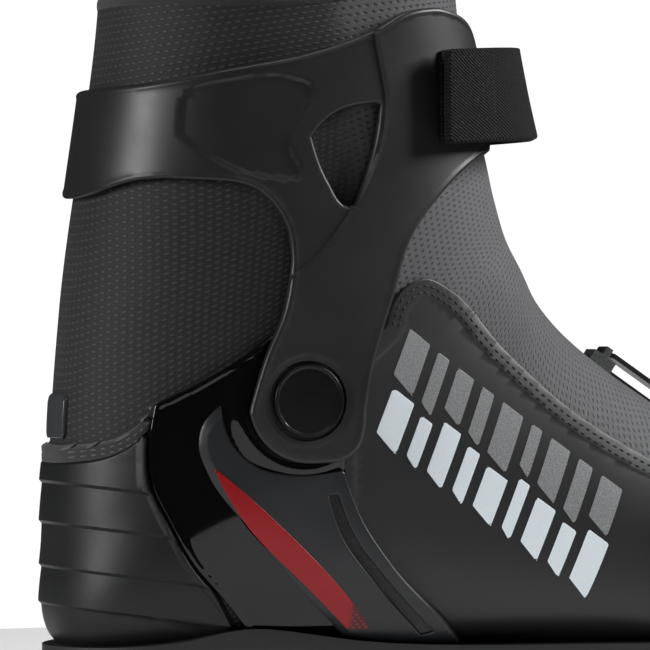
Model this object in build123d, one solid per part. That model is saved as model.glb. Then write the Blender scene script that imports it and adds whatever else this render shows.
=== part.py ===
from build123d import *
import math
import os
from collections import namedtuple

# Right skate boot for cross country skiing, European size 42.
# +X points to the toe, +Y to the inner side of the foot, +Z up. The origin is on the ground
# straight below the ankle pivot's axis, in the boot's middle plane. All sizes are in millimetres.

# ------------------------------------------------------------------ overall sizes
BOOT_LENGTH = 300.0       # back of the heel to the tip of the sole
BOOT_HEIGHT = 243.0       # ground to the collar's front edge
BALL_WIDTH = 98.0         # width of the upper across the ball of the foot
REFERENCE = (300.0, 243.0, 98.0)   # the size that the outlines below are drawn at

# ------------------------------------------------------------------ walls and clearances
FABRIC_WALL = 1.6
LINING_WALL = 5.0
TONGUE_WALL = 3.0
QUARTER_WALL = 1.2
TOE_CAP_WALL = 1.8
COUNTER_WALL = 2.4
RIB_HEIGHT = 0.9
CHASSIS_WALL = 1.5
PLATE_RISE = 1.6
STRIPE_WALL = 0.25
CUFF_WALL = 3.5
CUFF_BACK_GAP = 1.5       # collar to cuff at the back
LAYER_GAP = 0.2           # between layers that lie on each other
FLEX_GAP = 0.3            # between the lower upper and the collar that turns over it
FLEX_RADIUS = 72.0        # the collar turns over this radius about the pivot

# ------------------------------------------------------------------ ankle pivot
PIVOT_HEIGHT = 100.0
ARM_RADIUS = 19.6
BOSS_RADIUS = 16.0
PIN_RADIUS = 4.0
PIN_FLANGE_RADIUS = 8.0
PIN_FLANGE = 1.0
PIN_HEAD_RADIUS = 7.0
PIN_HEAD = 0.6
BUSH_WALL = 1.5
RUNNING_GAP = 0.05
CAP_RADIUS = 12.6
CAP_DOME = 1.6
CAP_SEAT_DEPTH = 1.6
GROOVE_WIDTH = 1.7
WASHER_RADIUS = 9.0
WASHER_WALL = 0.9
WASHER_GAP = 0.05

# ------------------------------------------------------------------ sole
TREAD_HEIGHT = 6.0
TREAD_INSET = 2.5
SHANK_WALL = 1.2
SHANK_WIDTH = 30.0
FOOTBED_WALL = 5.0
GUIDE_GROOVE_WIDTH = 6.0
GUIDE_GROOVE_DEPTH = 4.0
GUIDE_GROOVE_SPACING = 32.0
TOE_BAR_RADIUS = 2.0
TOE_BAR_LENGTH = 36.0
TOE_BAR_HEIGHT = 11.0
TOE_NOTCH_WIDTH = 26.0
TOE_NOTCH_LENGTH = 17.0

# ------------------------------------------------------------------ strap and zip
STRAP_WIDTH = 30.0
STRAP_WALL = 2.4
STRAP_BULGE = 9.5         # how far the strap stands in front of the cuff's line
STRAP_RISE = 9.0          # how far the strap climbs from the boot's back to its middle
HOOK_WALL = 1.2
PATCH_WALL = 1.0
ZIP_LENGTH = 56.0
ZIP_OFFSET = 10.0         # the zip lies this far to the inner side
ZIP_TAPE_WIDTH = 16.0
ZIP_RAIL_WIDTH = 4.0
ZIP_RAIL_HEIGHT = 2.6
ZIP_NECK_WIDTH = 2.0
SLIDER_LENGTH = 9.0
SLIDER_WIDTH = 8.0
SLIDER_HEIGHT = 4.6
SLIDER_GAP = 0.35
PULL_LENGTH = 24.0
PULL_WIDTH = 6.0
PULL_WALL = 1.6
PULL_EYE_RADIUS = 1.7

KX = BOOT_LENGTH / REFERENCE[0]
KZ = BOOT_HEIGHT / REFERENCE[1]
KY = BALL_WIDTH / REFERENCE[2]
FAR = 140.0               # beyond any side of the boot

Station = namedtuple("Station", "low high half_width shift lead belly low_power high_power")

# The upper's sections from the toe round the heel and up the shaft. Each runs from a low or back
# point to a high or front point (x, z), and swells to its half width at the share "belly" of the way.
STATIONS = [
    Station((222.5, 29), (221, 41), 15, 4, 1.0, 0.50, 2.2, 2.2),
    Station((219, 23.5), (216, 50), 28, 4, 0.75, 0.45, 2.6, 2.2),
    Station((211, 20), (206, 59), 37, 4, 0.4, 0.42, 3.0, 2.2),
    Station((196, 17.5), (193, 66.5), 43, 3.5, 0.15, 0.40, 3.2, 2.2),
    Station((170, 16), (170, 76.7), 47.5, 2, 0, 0.38, 3.4, 2.1),
    Station((140, 16), (142, 95.2), 49, 0, 0, 0.36, 3.4, 2.0),
    Station((105, 18), (118, 111), 45.5, -1.5, 0, 0.38, 3.2, 2.0),
    Station((20, 20), (95, 132), 41.5, -1, 0, 0.45, 3.0, 2.3),
    Station((-34, 17), (89, 144), 41.5, -0.5, 0, 0.48, 2.8, 2.4),
    Station((-64.5, 25), (84, 154), 42.5, 0, 0, 0.50, 2.6, 2.4),
    Station((-68, 57), (80, 166), 43.5, 0, 0, 0.50, 2.4, 2.4),
    Station((-67.5, 90), (76.5, 180), 44, 0, 0, 0.50, 2.3, 2.4),
    Station((-64.5, 128), (72, 197), 45, 0, 0, 0.50, 2.3, 2.4),
    Station((-51.5, 222), (65, 236), 45, 0, 0, 0.50, 2.3, 2.4),
    Station((-49, 262), (64, 264), 45, 0, 0, 0.50, 2.3, 2.4),
]
AROUND = 16               # corners of each section; the upper is built of flat facets


def section(station, offset, least_half=0.0, bulge=0.0):
    """The corners of one section of the upper, moved outwards by offset."""
    bx, bz = station.low[0] * KX, station.low[1] * KZ
    tx, tz = station.high[0] * KX + bulge, station.high[1] * KZ
    length = math.hypot(tx - bx, tz - bz)
    ex, ez = (tx - bx) / length, (tz - bz) / length
    bx, bz = bx - ex * offset + station.lead * offset, bz - ez * offset
    length += 2 * offset
    low = station.belly * length
    half = max(station.half_width * KY, least_half) + offset
    corners = []
    for i in range(AROUND):
        angle = 2 * math.pi * i / AROUND - math.pi / 2
        c, s = math.cos(angle), math.sin(angle)
        power = station.low_power if s < 0 else station.high_power
        across = half * math.copysign(abs(c) ** (2 / power), c)
        up = low + (length - low if s > 0 else low) * math.copysign(abs(s) ** (2 / power), s)
        corners.append(Vector(bx + ex * up, station.shift + across, bz + ez * up))
    return corners


def facet(*corners):
    return Face(Wire.make_polygon(corners, close=True))


skins = {}


def skin(offset, least_half=0.0, bulge=0.0):
    """The closed solid inside the upper's surface, moved outwards by offset."""
    key = (round(offset, 4), least_half, bulge)
    if key not in skins:
        rings = [section(station, offset, least_half, bulge) for station in STATIONS]
        facets = [facet(*rings[0]), facet(*rings[-1])]
        for ring, following in zip(rings, rings[1:]):
            for i in range(AROUND):
                j = (i + 1) % AROUND
                facets.append(facet(ring[i], ring[j], following[j]))
                facets.append(facet(ring[i], following[j], following[i]))
        skins[key] = Solid(Shell(facets))
    return skins[key]


def shell(inner, outer, least_half=0.0, bulge=0.0):
    return skin(outer, least_half, bulge) - skin(inner, least_half, bulge)


def scaled(points):
    return [(x * KX, z * KZ) for x, z in points]


def prism(*runs, low=-FAR, high=FAR):
    """A solid across the boot whose side view is the closed line through the runs.

    A run of two points is straight and a longer one is a smooth curve. Each run starts where
    the last one ended.
    """
    edges = []
    start = runs[0][0]
    for i, run in enumerate(runs):
        points = list(run) if i == 0 else [runs[i - 1][-1]] + list(run)
        vectors = [Vector(x, low, z) for x, z in points]
        edges.append(Edge.make_line(*vectors) if len(vectors) == 2 else Edge.make_spline(vectors))
    end = runs[-1][-1]
    if math.dist(start, end) > 1e-6:
        edges.append(Edge.make_line(Vector(end[0], low, end[1]), Vector(start[0], low, start[1])))
    return Solid.extrude(Face(Wire(edges)), Vector(0, high - low, 0))


def side_view(*runs, low=-FAR, high=FAR):
    """A prism whose outline is drawn at the reference size and follows the boot's size."""
    return prism(*[scaled(run) for run in runs], low=low, high=high)


def box(x0, x1, y0, y1, z0, z1):
    return Solid.make_box(x1 - x0, y1 - y0, z1 - z0, Plane((x0, y0, z0)))


def across(x, z, radius, y0, y1):
    """A round bar along Y."""
    return Solid.make_cylinder(radius, y1 - y0, Plane((x, y0, z), x_dir=(1, 0, 0), z_dir=(0, 1, 0)))


def pivot_bar(side):
    """Makes round bars on the pivot's axis, from one distance off the middle to another."""
    return lambda radius, near, far: across(0, PIVOT_Z, radius, *sorted((side * near, side * far)))


def arc_points(radius, start, end, count):
    """Points on a circle round the pivot, by angle from +X towards +Z in degrees."""
    angles = [math.radians(start + (end - start) * i / (count - 1)) for i in range(count)]
    return [(radius * math.cos(a), PIVOT_Z + radius * math.sin(a)) for a in angles]


def write(node, shape):
    """Writes one node's solids, without the crumbs that a cut may leave."""
    solids = [solid for solid in shape.solids() if solid.volume > CRUMB]
    export_step(solids[0] if len(solids) == 1 else Compound(children=solids), f"parts/{node}.step")


CRUMB = 2.0
SIDES = (("lateral", -1), ("medial", 1))
PIVOT_Z = PIVOT_HEIGHT * KZ
os.makedirs("parts", exist_ok=True)

# ------------------------------------------------------------------ outlines, at the reference size
SOLE_LINE = [(-90, 22.5), (-50, 22.5), (-33, 24.5), (-17, 27.5), (0, 26.5), (20, 23.5), (45, 21.5),
             (90, 21), (140, 21), (180, 23), (205, 28), (222, 35), (240, 42)]
UNDER_SOLE_LINE = side_view(SOLE_LINE, [(240, -40)], [(-90, -40)])
BAND_REAR = [(-46, 99.5), (-47.5, 90), (-47, 75), (-42, 63), (-35, 50), (-23, 37), (-13, 26)]
CHASSIS_FRONT = [(14, 81), (15.5, 72), (19, 64), (31, 47), (50, 29), (60, 20)]
chassis_zone = side_view(BAND_REAR, [(-13, 10)], [(70, 10)], [CHASSIS_FRONT[-1]],
                         list(reversed(CHASSIS_FRONT[:-1])), [(14, 108), (8, 118), (-11, 121)],
                         [(-24, 111.5), (-37, 104), (-46, 99.5)])
beside_chassis = Pos(-2 * LAYER_GAP, 0, 0) * chassis_zone
RIDGE = [(-27, 99), (-33, 92), (-34, 86), (-31, 77), (-14, 56), (0, 40), (18, 24)]

# ------------------------------------------------------------------ flex split between foot and collar
flex_k = min(KX, KZ)
flex_radius = FLEX_RADIUS * flex_k


def sector(radius, start, end):
    """Everything beyond a radius round the pivot, between two angles."""
    arc = arc_points(radius, start, end, 9)
    beyond = arc_points(4 * radius, end, start, 9)
    return prism(arc, beyond[:1], beyond[1:])


collar_zone = sector(flex_radius + FLEX_GAP, 38, 165)
open_zone = sector(flex_radius, 20, 165)
gusset_zone = sector(flex_radius + FLEX_GAP, 20.3, 37.7)
below_collar_top = side_view([(-90, 232), (-55, 232), (0, 231), (45, 238), (70, 243), (90, 243)],
                             [(90, -20)], [(-90, -20)])
binding_zone = side_view([(-90, 232), (-55, 232), (0, 231), (45, 238), (70, 243), (90, 243)],
                         [(90, 237)], [(70, 237), (45, 232), (0, 225), (-55, 226), (-90, 226)])

# ------------------------------------------------------------------ fabric, lining, tongue
fabric = (shell(-FABRIC_WALL, 0) & below_collar_top) - binding_zone
lining_out = -FABRIC_WALL - LAYER_GAP
lining_in = lining_out - LINING_WALL
board_top = [(-75, 38), (-56, 37), (-25, 31), (20, 29), (66, 25.5), (105, 22.5), (140, 20.3),
             (170, 20.3), (196, 22), (212, 26), (232, 34)]
board_zone = side_view(board_top, [(232, -40)], [(-75, -40)])
above_board = [(x, z + LAYER_GAP) for x, z in board_top]
lining_zone = side_view(above_board, [(232, 300)], [(-75, 300)])
lining = ((shell(lining_in, lining_out) & below_collar_top) - binding_zone) & lining_zone
write("upper_fabric", fabric - open_zone)
write("flex_gusset", fabric & gusset_zone)
write("collar_fabric", fabric & collar_zone)
write("foot_lining", lining - open_zone)
write("collar_lining", lining & collar_zone)
write("collar_binding", shell(lining_in, LAYER_GAP) & binding_zone)
write("lasting_board", skin(lining_out) & board_zone)
footbed_top = [(x, z + LINING_WALL + FOOTBED_WALL) for x, z in board_top]
footbed_zone = side_view(footbed_top, [(232, -40)], [(-75, -40)])
write("footbed", (skin(lining_in - LAYER_GAP) & footbed_zone) & lining_zone)
tongue_out = lining_in - LAYER_GAP
tongue = shell(tongue_out - TONGUE_WALL, tongue_out)
TONGUE_HALF = 24.0
tongue_upper_zone = side_view([(40, 160), (95, 160)], [(95, 225)], [(36, 225)],
                              low=-TONGUE_HALF, high=TONGUE_HALF)
tongue_lower_zone = side_view([(62, 98), (150, 60)], [(150, 130)], [(62, 130)],
                              low=-TONGUE_HALF, high=TONGUE_HALF)
write("tongue_upper", tongue & tongue_upper_zone)
write("tongue_lower", (tongue & tongue_lower_zone) - open_zone)

# ------------------------------------------------------------------ heel counter, binding, tab
counter_in = LAYER_GAP
counter_out = counter_in + COUNTER_WALL
COUNTER_TOP = [(-90, 80), (-67, 81), (-57, 83.5), (-50.5, 88), (-46.6, 95)]
BINDING_TOP = [(-90, 84.5), (-67, 85.5), (-57, 88), (-51, 92.5), (-46.4, 99.5)]
counter_zone = side_view(COUNTER_TOP, [(-40, 60)], [(-10, 15)], [(-90, 15)]) - beside_chassis
counter = (shell(counter_in, counter_out) & counter_zone) - UNDER_SOLE_LINE
RIB_FRONT_TOP = [(72, -43), (57.5, -39), (44.5, -30), (31.5, -19)]
rib_shell = shell(counter_out, counter_out + RIB_HEIGHT)
for top, front in RIB_FRONT_TOP:
    rise = 3.2            # each rib stands higher at the back than at its front end
    rib_zone = side_view([(-90, top + rise), (front, top)], [(front, top - 9)], [(-90, top + rise - 9)])
    counter = counter + ((rib_shell & rib_zone & counter_zone) - UNDER_SOLE_LINE)
write("heel_counter", counter)
binding_edge = [(x, z + LAYER_GAP) for x, z in reversed(COUNTER_TOP)]
binding_strip = side_view(BINDING_TOP, [binding_edge[0]], binding_edge[1:]) - beside_chassis
write("counter_binding", shell(counter_in, counter_out + 0.4) & binding_strip)
TAB_HALF = 9.0
write("heel_tab", shell(counter_in, counter_in + 1.8)
      & side_view([(-90, 86), (-57, 89)], [(-57, 102)], [(-90, 102)], low=-TAB_HALF, high=TAB_HALF))

# ------------------------------------------------------------------ quarters and toe cap
quarter_in = LAYER_GAP
quarter_out = quarter_in + QUARTER_WALL
QUARTER_TOP = [(29, 124), (33, 134), (42, 139), (53, 135), (72, 116), (95, 96), (130, 76), (172, 59)]
quarter_rear = [(x - 4, z) for x, z in reversed(CHASSIS_FRONT[:-1])]
quarter_zone = side_view(QUARTER_TOP, [(176, 12)], [(46, 12)], [quarter_rear[0]], quarter_rear[1:],
                         [(12, 110)])
quarter_shell = (shell(quarter_in, quarter_out) & quarter_zone) - UNDER_SOLE_LINE
toe_zone = side_view([(178, 92), (172.6, 60)], [(176.6, 10)], [(245, 10)], [(245, 92)])
write("toe_cap", (shell(quarter_in, quarter_in + TOE_CAP_WALL) & toe_zone) - UNDER_SOLE_LINE)
half_space = {
    -1: box(-FAR, 3 * FAR, -FAR, 0, -FAR, 3 * FAR),
    1: box(-FAR, 3 * FAR, 0, FAR, -FAR, 3 * FAR),
}
for name, side in SIDES:
    write(f"quarter_{name}", quarter_shell & half_space[side])

# ------------------------------------------------------------------ chassis, boss, plate, stripe
chassis_in = quarter_out + LAYER_GAP / 2
chassis_out = chassis_in + CHASSIS_WALL
plate_out = chassis_out + PLATE_RISE
pivot_half = STATIONS[10].half_width * KY    # half width of the upper at the pivot
boss_face = pivot_half + chassis_out + 0.3
arm_face = boss_face + WASHER_GAP * 2 + WASHER_WALL
arm_out = arm_face + CUFF_WALL
seat = arm_out - CAP_SEAT_DEPTH
POCKET = [(13.5, 78), (-5, 77), (-15, 79.5), (-22, 85), (-26, 93), (-27, 99)]
plate_zone = side_view(RIDGE, [(60, 12)], [CHASSIS_FRONT[-1]], list(reversed(CHASSIS_FRONT[1:-1])),
                       [POCKET[0]], POCKET[1:])
slot_zone = side_view([(10.5, 71), (14, 71)], [(19, 59), (33, 42), (51, 26)],
                      [(46, 25)], [(30, 40), (15.5, 58), (10.5, 71)])
stripe_zone = side_view([(-30, 80), (-17, 69), (9, 45), (26, 27)], [(18, 27)],
                        [(1, 42), (-21, 64), (-26, 72), (-30, 80)])
base_shell = (shell(chassis_in, chassis_out) & chassis_zone) - UNDER_SOLE_LINE
plate_shell = (shell(chassis_out, plate_out) & plate_zone) - UNDER_SOLE_LINE - slot_zone
stripe_shell = shell(plate_out, plate_out + STRIPE_WALL) & stripe_zone
flange_in = pivot_half + LAYER_GAP
flange_out = flange_in + PIN_FLANGE
for name, side in SIDES:
    bar = pivot_bar(side)
    chassis = (base_shell + plate_shell) & half_space[side]
    boss = bar(BOSS_RADIUS, pivot_half - 4, boss_face) - skin(chassis_in)
    chassis = chassis + boss
    chassis = chassis - bar(ARM_RADIUS + 2, boss_face, 2 * boss_face)
    chassis = chassis - bar(PIN_FLANGE_RADIUS + LAYER_GAP, 0, flange_out + WASHER_GAP)
    write(f"chassis_{name}", chassis - bar(PIN_RADIUS + WASHER_GAP, 0, FAR))
    write(f"stripe_{name}", stripe_shell & half_space[side])

    # pin, washer, bush and cap, from the inside out
    pin = bar(PIN_FLANGE_RADIUS, flange_in, flange_out) + bar(PIN_RADIUS, flange_in, seat + PIN_HEAD)
    pin = pin + bar(PIN_HEAD_RADIUS, seat + WASHER_GAP, seat + WASHER_GAP + PIN_HEAD)
    write(f"pivot_pin_{name}", pin)
    write(f"pivot_washer_{name}", bar(WASHER_RADIUS, boss_face + WASHER_GAP, arm_face - WASHER_GAP)
          - bar(PIN_RADIUS + 2 * RUNNING_GAP, 0, FAR))
    bush = bar(PIN_RADIUS + RUNNING_GAP + BUSH_WALL, arm_face, seat)
    write(f"pivot_bush_{name}", bush - bar(PIN_RADIUS + RUNNING_GAP, 0, FAR))
    cap_under = seat + PIN_HEAD + 3 * WASHER_GAP
    dome_radius = (CAP_RADIUS ** 2 + CAP_DOME ** 2) / (2 * CAP_DOME)
    dome = Solid.make_sphere(dome_radius, Plane((0, side * (arm_out + 0.8 - dome_radius), PIVOT_Z)))
    cap = bar(CAP_RADIUS, cap_under, arm_out + CAP_DOME) & dome
    rim = bar(CAP_RADIUS, seat + WASHER_GAP, cap_under) - bar(CAP_RADIUS - 2, 0, FAR)
    write(f"pivot_cap_{name}", cap + rim)

# ------------------------------------------------------------------ cuff
cuff_half = arm_face - CUFF_BACK_GAP
cuff_out = CUFF_BACK_GAP + CUFF_WALL
lower_arm = arc_points(ARM_RADIUS, 190, 262, 5) + [
    (ARM_RADIUS * x, PIVOT_Z - ARM_RADIUS * z)
    for x, z in ((0.25, 1.0), (0.62, 0.96), (0.86, 0.78), (0.96, 0.5), (0.985, 0.17))]
cuff_front = scaled([(22, 112), (29, 133), (35, 151), (47, 166), (62, 177), (69, 180)])
cuff_zone = prism(
    lower_arm,
    cuff_front,
    scaled([(71.5, 190), (69, 208), (62, 221), (46, 226)]),
    scaled([(34, 224), (22, 217.5), (4, 211), (-24, 205), (-45, 201), (-80, 199)]),
    scaled([(-80, 159)]),
    scaled([(-66, 163), (-52, 169.5), (-36, 170), (-15, 166), (-7, 156), (-5, 144)]),
    scaled([(-8, 128), (-14, 114)]) + [lower_arm[0]],
)
window_zone = side_view([(1.5, 184), (8, 190.5), (25.5, 195)], [(24, 184), (16, 162)],
                        [(13.5, 162), (7, 170), (1.5, 184)])
cuff = (shell(CUFF_BACK_GAP, cuff_out, cuff_half) & cuff_zone) - window_zone
for name, side in SIDES:
    bar = pivot_bar(side)
    cuff = cuff + bar(ARM_RADIUS - 0.6, arm_face, arm_out)
    cuff = cuff - bar(ARM_RADIUS + 2, 0, arm_face)
    cuff = cuff - bar(PIN_RADIUS + 2 * RUNNING_GAP + BUSH_WALL, 0, FAR)
    cuff = cuff - bar(CAP_RADIUS + 2 * WASHER_GAP, seat, FAR)
    groove = bar(CAP_RADIUS + 1 + GROOVE_WIDTH, arm_out - 0.8, FAR) - bar(CAP_RADIUS + 1, 0, FAR)
    cuff = cuff - groove

# ------------------------------------------------------------------ strap, anchor, patches
strap_low, strap_high = 182.0, 182.0 + STRAP_WIDTH / KZ
patch_out = cuff_out + LAYER_GAP + PATCH_WALL
band_zone = side_view([(-90, strap_low - STRAP_RISE), (110, strap_low + STRAP_RISE / 2)],
                      [(110, strap_high + STRAP_RISE / 2)], [(-90, strap_high - STRAP_RISE)])
anchor_x = 56.0 * KX
strap_end_x = 47.0 * KX
outer_end = box(strap_end_x, 66 * KX, -FAR, 0, 0, 2 * FAR)
write("loop_patch", shell(cuff_out + LAYER_GAP / 2, patch_out, cuff_half) & band_zone & outer_end)
anchor_zone = box(anchor_x - 12, anchor_x + 6, 0, FAR, 0, 2 * FAR)
anchor = shell(cuff_out + LAYER_GAP / 2, patch_out + 0.8, cuff_half) & band_zone & anchor_zone
write("strap_anchor", anchor)
strap_in = patch_out + 1.2
strap_zone = band_zone - box(-FAR, strap_end_x, -FAR, 0, 0, 2 * FAR)
strap_zone = strap_zone - box(-FAR, anchor_x, 0, FAR, 0, 2 * FAR)
strap_fit = (cuff_half, STRAP_BULGE * KX)
strap = shell(strap_in, strap_in + STRAP_WALL, *strap_fit) & strap_zone
write("strap_web", strap)
hook = shell(strap_in - HOOK_WALL, strap_in, *strap_fit) & band_zone & outer_end
write("hook_patch", hook)
RIVET_RADIUS = 2.6
rivets = []
for height in (0.27, 0.73):
    z = (strap_low + 2 + height * STRAP_WIDTH / KZ) * KZ
    shank = across(anchor_x - 7, z, RIVET_RADIUS, 0, FAR)
    cuff = cuff - (across(anchor_x - 7, z, RIVET_RADIUS + 0.05, 0, FAR))
    rivets.append(shank & shell(CUFF_BACK_GAP, cuff_out + 0.05, cuff_half))
write("anchor_rivets", Compound(children=[s for r in rivets for s in r.solids()]))
write("cuff_shell", cuff)

# ------------------------------------------------------------------ zip on the instep
zip_top, zip_foot = scaled([(118, 111), (165, 79.9)])
zip_run = (zip_foot[0] - zip_top[0], zip_foot[1] - zip_top[1])
zip_plane = Plane(origin=(zip_top[0], ZIP_OFFSET, zip_top[1]), x_dir=(zip_run[0], 0, zip_run[1]),
                  z_dir=(-zip_run[1], 0, zip_run[0]))


def zip_box(x0, x1, y0, y1, z0, z1):
    """A box in the zip's own frame: x towards the toe, z out of the instep."""
    return zip_plane.location * box(x0, x1, y0, y1, z0, z1)


tape_top = 0.9
tape = shell(LAYER_GAP, tape_top) & zip_box(-4, ZIP_LENGTH + 4, -ZIP_TAPE_WIDTH / 2,
                                            ZIP_TAPE_WIDTH / 2, -20, 20)
write("zip_tape", tape)
rail_base = 1.2
neck = zip_box(0, ZIP_LENGTH, -ZIP_NECK_WIDTH / 2, ZIP_NECK_WIDTH / 2, -3, rail_base + 1.2) - skin(tape_top)
head = zip_box(0, ZIP_LENGTH, -ZIP_RAIL_WIDTH / 2, ZIP_RAIL_WIDTH / 2, rail_base + 1.2,
               rail_base + ZIP_RAIL_HEIGHT)
write("zip_rail", neck + head)
slider_floor = rail_base - 0.3
channel = ZIP_RAIL_WIDTH / 2 + SLIDER_GAP
slider = zip_box(1, 1 + SLIDER_LENGTH, -SLIDER_WIDTH / 2, SLIDER_WIDTH / 2, slider_floor,
                 slider_floor + SLIDER_HEIGHT + 1)
slider = slider - zip_box(0, 2 + SLIDER_LENGTH, -channel, channel, rail_base + 1.2 - SLIDER_GAP,
                          rail_base + ZIP_RAIL_HEIGHT + SLIDER_GAP)
slider = slider - zip_box(0, 2 + SLIDER_LENGTH, -ZIP_NECK_WIDTH / 2 - SLIDER_GAP,
                          ZIP_NECK_WIDTH / 2 + SLIDER_GAP, 0, rail_base + 1.3)
bail_x, bail_z = 1 + SLIDER_LENGTH / 2, slider_floor + SLIDER_HEIGHT + 3.0
BAIL_RADIUS = 0.8
bail = zip_box(bail_x - 1.2, bail_x + 1.2, -4, 4, slider_floor + SLIDER_HEIGHT + 0.9, bail_z + 1.2)
bail = bail - zip_box(bail_x - 3, bail_x + 3, -2.2, 2.2, slider_floor + SLIDER_HEIGHT + 1, bail_z + 2)


def zip_bar(radius, half):
    """A round bar across the zip, on the axis that the pull swings on."""
    place = Plane((bail_x, -half, bail_z), x_dir=(1, 0, 0), z_dir=(0, 1, 0))
    return zip_plane.location * Solid.make_cylinder(radius, 2 * half, place)


write("zip_slider", slider + bail + zip_bar(BAIL_RADIUS, 3.8))
pull = zip_bar(PULL_EYE_RADIUS, 2) + zip_box(bail_x + 2.7, bail_x + PULL_LENGTH, -PULL_WIDTH / 2,
                                             PULL_WIDTH / 2, bail_z - PULL_WALL / 2,
                                             bail_z + PULL_WALL / 2)
pull = pull + zip_box(bail_x, bail_x + 3.2, -2, 2, bail_z - PULL_WALL / 2, bail_z + PULL_WALL / 2)
write("zip_pull", pull - zip_bar(BAIL_RADIUS + RUNNING_GAP, 10))
stops = [zip_box(-2.4, -0.3, -2.5, 2.5, -4, 3.2) - skin(tape_top),
         zip_box(ZIP_LENGTH + 0.3, ZIP_LENGTH + 2.4, -2.5, 2.5, -4, 3.2) - skin(tape_top)]
write("zip_stops", Compound(children=[s for stop in stops for s in stop.solids()]))

# ------------------------------------------------------------------ sole
PLAN = [(-71, 0), (-68.5, -12), (-60.5, -24), (-44, -33), (-5, -37), (40, -37.5), (90, -46),
        (140, -51), (180, -47), (206, -34), (224, -15), (230, 4), (224, 23), (206, 40), (180, 49),
        (140, 50), (90, 42), (40, 36), (-5, 37), (-44, 33), (-60.5, 24), (-68.5, 12)]


def plan(inset):
    """The sole's outline seen from above, moved inwards."""
    middle = 80.0
    kx = KX * (1 - inset / (BOOT_LENGTH / 2))
    ky = KY * (1 - inset / (BALL_WIDTH / 2))
    points = [Vector(middle * KX + (x - middle) * kx, y * ky, 0) for x, y in PLAN]
    return Face(Wire([Edge.make_spline(points, periodic=True)]))


sole_block = Solid.extrude(plan(0), Vector(0, 0, 60))
sole_profile = side_view(SOLE_LINE, [(240, 24)], [(230, 22), (214, 12), (196, TREAD_HEIGHT / KZ)],
                         [(56, TREAD_HEIGHT / KZ)], [(40, 9.5)], [(24, 9.5)],
                         [(14, TREAD_HEIGHT / KZ)], [(-90, TREAD_HEIGHT / KZ)])
bar_x = 213 * KX
outsole = (sole_block & sole_profile) - skin(0.15)
notch = box(bar_x - 6, bar_x - 6 + TOE_NOTCH_LENGTH + 20, -TOE_NOTCH_WIDTH / 2, TOE_NOTCH_WIDTH / 2,
            -5, TOE_BAR_HEIGHT + 3.6)
outsole = outsole - notch
outsole = outsole - across(bar_x, TOE_BAR_HEIGHT, TOE_BAR_RADIUS + 0.02, -TOE_BAR_LENGTH / 2,
                           TOE_BAR_LENGTH / 2)
shank_z = 9.6
shank = box(-48 * KX, 150 * KX, -SHANK_WIDTH / 2, SHANK_WIDTH / 2, shank_z, shank_z + SHANK_WALL)
pocket = box(-48 * KX - 0.1, 150 * KX + 0.1, -SHANK_WIDTH / 2 - 0.1, SHANK_WIDTH / 2 + 0.1,
             shank_z - 0.02, shank_z + SHANK_WALL + 0.02)
grooves = []
for side in (-1, 1):
    y = side * GUIDE_GROOVE_SPACING / 2
    grooves.append(box(50 * KX, 260 * KX, y - GUIDE_GROOVE_WIDTH / 2, y + GUIDE_GROOVE_WIDTH / 2,
                       -5, GUIDE_GROOVE_DEPTH))
tread_block = Solid.extrude(plan(TREAD_INSET), Vector(0, 0, TREAD_HEIGHT))
heel_tread = tread_block & box(-FAR, 14 * KX, -FAR, FAR, -1, TREAD_HEIGHT)
forefoot_tread = tread_block & box(57 * KX, 190 * KX, -FAR, FAR, -1, TREAD_HEIGHT)
for groove in grooves:
    forefoot_tread = forefoot_tread - groove
LUG_GAP = 3.0
LUG_DEPTH = 3.0
for i in range(3):
    x = (-42 + 16 * i) * KX
    heel_tread = heel_tread - box(x, x + LUG_GAP, -FAR, -8, -1, LUG_DEPTH)
    heel_tread = heel_tread - box(x, x + LUG_GAP, 8, FAR, -1, LUG_DEPTH)
for i in range(6):
    x = (74 + 18 * i) * KX
    for side in (-1, 1):
        ends = sorted((side * (GUIDE_GROOVE_SPACING / 2 + 6), side * FAR))
        forefoot_tread = forefoot_tread - box(x, x + LUG_GAP, *ends, -1, LUG_DEPTH)
write("outsole", outsole - pocket)
write("shank_plate", shank)
write("heel_tread", heel_tread)
write("forefoot_tread", forefoot_tread)
write("toe_bar", across(bar_x, TOE_BAR_HEIGHT, TOE_BAR_RADIUS, -TOE_BAR_LENGTH / 2,
                        TOE_BAR_LENGTH / 2))
print("pivot height", round(PIVOT_Z, 2), "boss face", round(boss_face, 2), "arm face", round(arm_face, 2))
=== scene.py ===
import math

import bmesh
import bpy
import numpy as np
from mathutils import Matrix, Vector
from mathutils.bvhtree import BVHTree


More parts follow.
